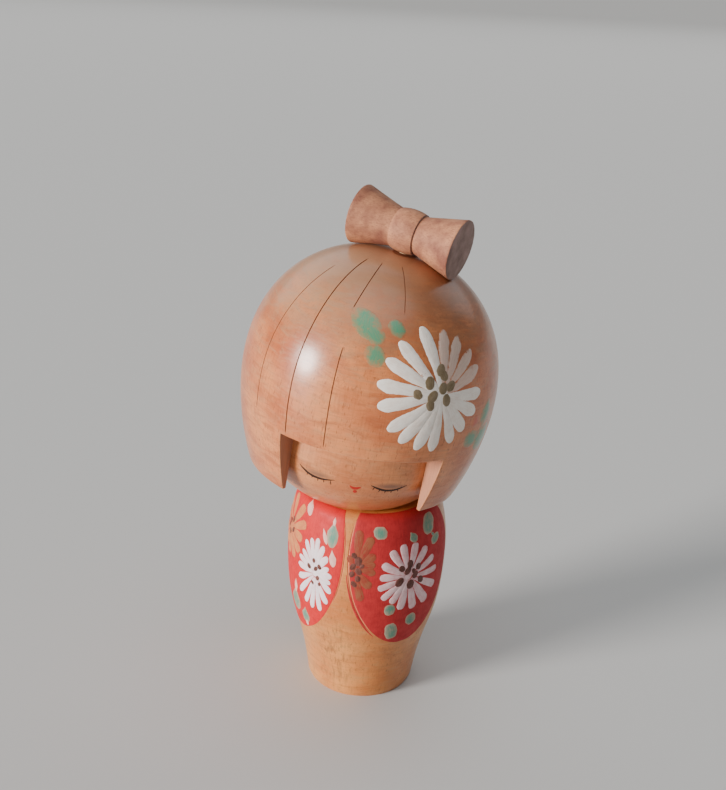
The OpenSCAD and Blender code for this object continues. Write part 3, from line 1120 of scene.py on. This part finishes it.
def make_face_paint():
    """Closed eyes with lashes, and the small mouth."""
    hub = FACE_SIDE, 0, EYE_RUN
    lids = [
        [(-31.6, -17.4), (-27.4, -19), (-21.8, -19.7), (-17, -19.8), (-8.8, -18.8)],
        [(8.8, -18.5), (13.5, -19.6), (19, -20.1), (24.2, -19.8), (31, -18.1)],
    ]
    lashes = [
        [(-26, -19.4), (-26.3, -20.2)], [(-23, -19.7), (-23.4, -20.6)], [(-19.6, -19.9), (-19.8, -21)],
        [(-16.2, -19.8), (-16.2, -20.9)], [(-12.4, -19.4), (-12.1, -21)], [(11.6, -19.2), (11, -20.3)],
        [(15, -19.8), (14.6, -20.9)], [(18.4, -20.1), (18.3, -21.2)], [(21.8, -20), (22, -21.1)],
        [(25.4, -19.6), (25.8, -20.6)],
    ]
    eyes = Painting(hub, 900)
    for lines, half, height in ((lids, 0.46, 0.05), (lashes, 0.17, 0.03)):
        for places in lines:
            eyes.line([face_spot(*place) for place in places], half, height)
    eyes.piece("eyes", lash, "dark_paint")
    mouth = Painting(hub, 960)
    lips = [(-2, -19.5), (0.3, -20.3), (2.4, -20.2), (4.8, -19.6)]
    mouth.line([face_spot(*place) for place in lips], 0.62, 0.04)
    mouth.blot(*face_spot(1.7, -21.5), 1.3, 1.2, height=0.05)
    mouth.piece("mouth", lip, "red_paint")


def finish_dowels():
    """The dowels are shown as the CAD has them, in plain wood."""
    for name in ("neck_peg", "bow_peg"):
        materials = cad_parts[name].data.materials
        materials.clear()
        materials.append(dowel_wood)


# ---- stage

MIDDLE = Vector((0, 0, 80))     # the place that the lamps face


def make_floor():
    """A pale floor that reaches far past the view. far is in metres."""
    mesh = bpy.data.meshes.new("floor")
    far = 60
    mesh.from_pydata([(-far, -far, 0), (far, -far, 0), (far, far, 0), (-far, far, 0)], [], [(0, 1, 2, 3)])
    finish = Finish("floor", 0.55)
    finish.colour(srgb(208, 207, 205))
    mesh.materials.append(finish.data)
    add("floor", mesh)


def facing(azimuth, elevation, roll=0.0):
    """The turn of a camera or lamp that stands at these angles and looks back towards the doll."""
    turn = Matrix.Rotation(radians(azimuth), 3, "Z") @ Matrix.Rotation(radians(90 - elevation), 3, "X")
    return turn @ Matrix.Rotation(radians(roll), 3, "Z")


def put(name, data, spot, turn):
    """Adds a camera or lamp at a spot in mm."""
    thing = add(name, data)
    thing.matrix_world = Matrix.Translation(spot * MM) @ turn.to_4x4()
    return thing


def add_lamp(name, kind, azimuth, elevation, distance, power, colour):
    """A lamp that faces the middle of the doll, from a distance in mm."""
    lamp = bpy.data.lights.new(name, kind)
    lamp.energy = power
    lamp.color = colour
    turn = facing(azimuth, elevation)
    put(name, lamp, MIDDLE + turn.col[2] * distance, turn)
    return lamp


def make_lights():
    """A low window and the ceiling, far away, with a wide pale wall behind the doll and a dim room."""
    window = add_lamp("window", "SUN", -60, 13, 1000, 5.8, (1.0, 0.96, 0.92))
    window.angle = radians(17)
    ceiling = add_lamp("ceiling", "SUN", 20, 78, 1000, 0.66, (0.95, 0.98, 1.0))
    ceiling.angle = radians(50)
    wall = add_lamp("wall", "AREA", 180, 40, 4800, 105, (0.96, 0.98, 1.0))
    wall.shape = "RECTANGLE"
    wall.size = 12
    wall.size_y = 3.6
    world = bpy.data.worlds.new("room")
    world.use_nodes = True
    bpy.context.scene.world = world
    sky = world.node_tree.nodes["Background"]
    sky.inputs["Color"].default_value = srgb(206, 210, 212)
    sky.inputs["Strength"].default_value = 0.3


def make_camera():
    """A camera in front of the doll and above it, tilted a little to one side."""
    camera = bpy.data.cameras.new("camera")
    camera.lens = 49.43
    camera.sensor_width = 36
    camera.clip_start = 0.01
    turn = facing(0.696, 21.475, 3.074)
    bpy.context.scene.camera = put("camera", camera, Vector((0, -279.38, 198.81)), turn)


make_camera()
make_lights()
make_floor()
make_body()
make_hair()
make_face()
make_bow()
# The lapel on the doll's left takes the darker red, its painted shade
paint_lapel("left_lapel", LEFT_LAPEL, -1, red_shaded)
paint_lapel("right_lapel", RIGHT_LAPEL, 1, red)
make_head_flower()
make_head_leaves()
make_left_flower()
make_right_flower()
make_bronze_flowers()
make_lapel_leaves()
make_face_paint()
finish_dowels()

bpy.context.view_layer.update()
